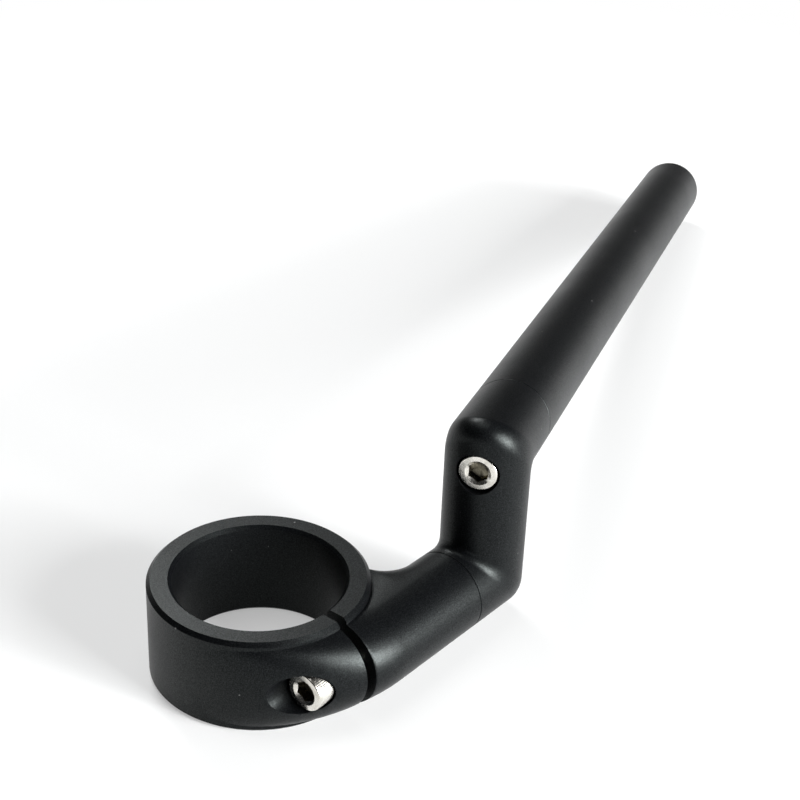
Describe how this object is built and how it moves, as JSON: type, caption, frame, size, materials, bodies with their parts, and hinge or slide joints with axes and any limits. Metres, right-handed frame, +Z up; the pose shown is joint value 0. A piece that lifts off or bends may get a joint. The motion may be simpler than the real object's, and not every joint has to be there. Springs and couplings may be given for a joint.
{
  "type": "clip-on handlebar",
  "caption": "Clip-on motorcycle handlebar for one side: split fork clamp with an arm, an upright elbow and a round bar.",
  "frame": {"origin": "on the fork tube's axis, halfway up the clamp ring", "axes": "+Z up along the fork tube's axis, +X along the arm away from the slit, and the slit on the -Y side"},
  "size_m": [0.3492, 0.125, 0.0622],
  "materials": {
    "black_anodised": "satin black anodised, fine bead-blasted grain",
    "stainless": "bright turned stainless steel"
  },
  "bodies": {
    "root": {"clamp": "black_anodised", "clamp_screw": "stainless", "elbow": "black_anodised", "arm_screw": "stainless", "bar": "black_anodised", "bar_plug": "stainless", "bar_screw": "stainless"}
  },
  "joints": []
}
